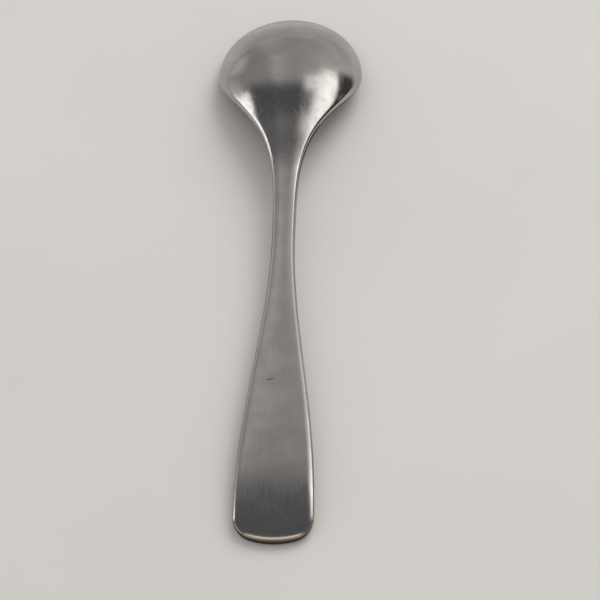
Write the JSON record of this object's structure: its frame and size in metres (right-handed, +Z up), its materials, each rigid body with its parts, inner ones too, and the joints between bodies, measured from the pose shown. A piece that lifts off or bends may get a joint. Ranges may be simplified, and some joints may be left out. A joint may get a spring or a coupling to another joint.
{
  "type": "teaspoon",
  "caption": "Stainless steel teaspoon lying face down, with an egg-shaped bowl, a narrow arched stem and a plain handle that widens to a rounded, turned-down end.",
  "frame": {"origin": "on the table, under the middle of the spoon's length and width", "axes": "+Y from the handle's end towards the tip of the bowl, +Z up out of the table, the bowl's back facing up, +X to the right when looking along +Y"},
  "size_m": [0.0306, 0.138, 0.0123],
  "materials": {
    "bowl_steel": "stainless steel, polished and softened by use, with fine scratches",
    "handle_steel": "stainless steel, satin, with fine lines along the handle"
  },
  "bodies": {
    "root": {"bowl": "bowl_steel", "neck": "handle_steel", "handle": "handle_steel"}
  },
  "joints": []
}
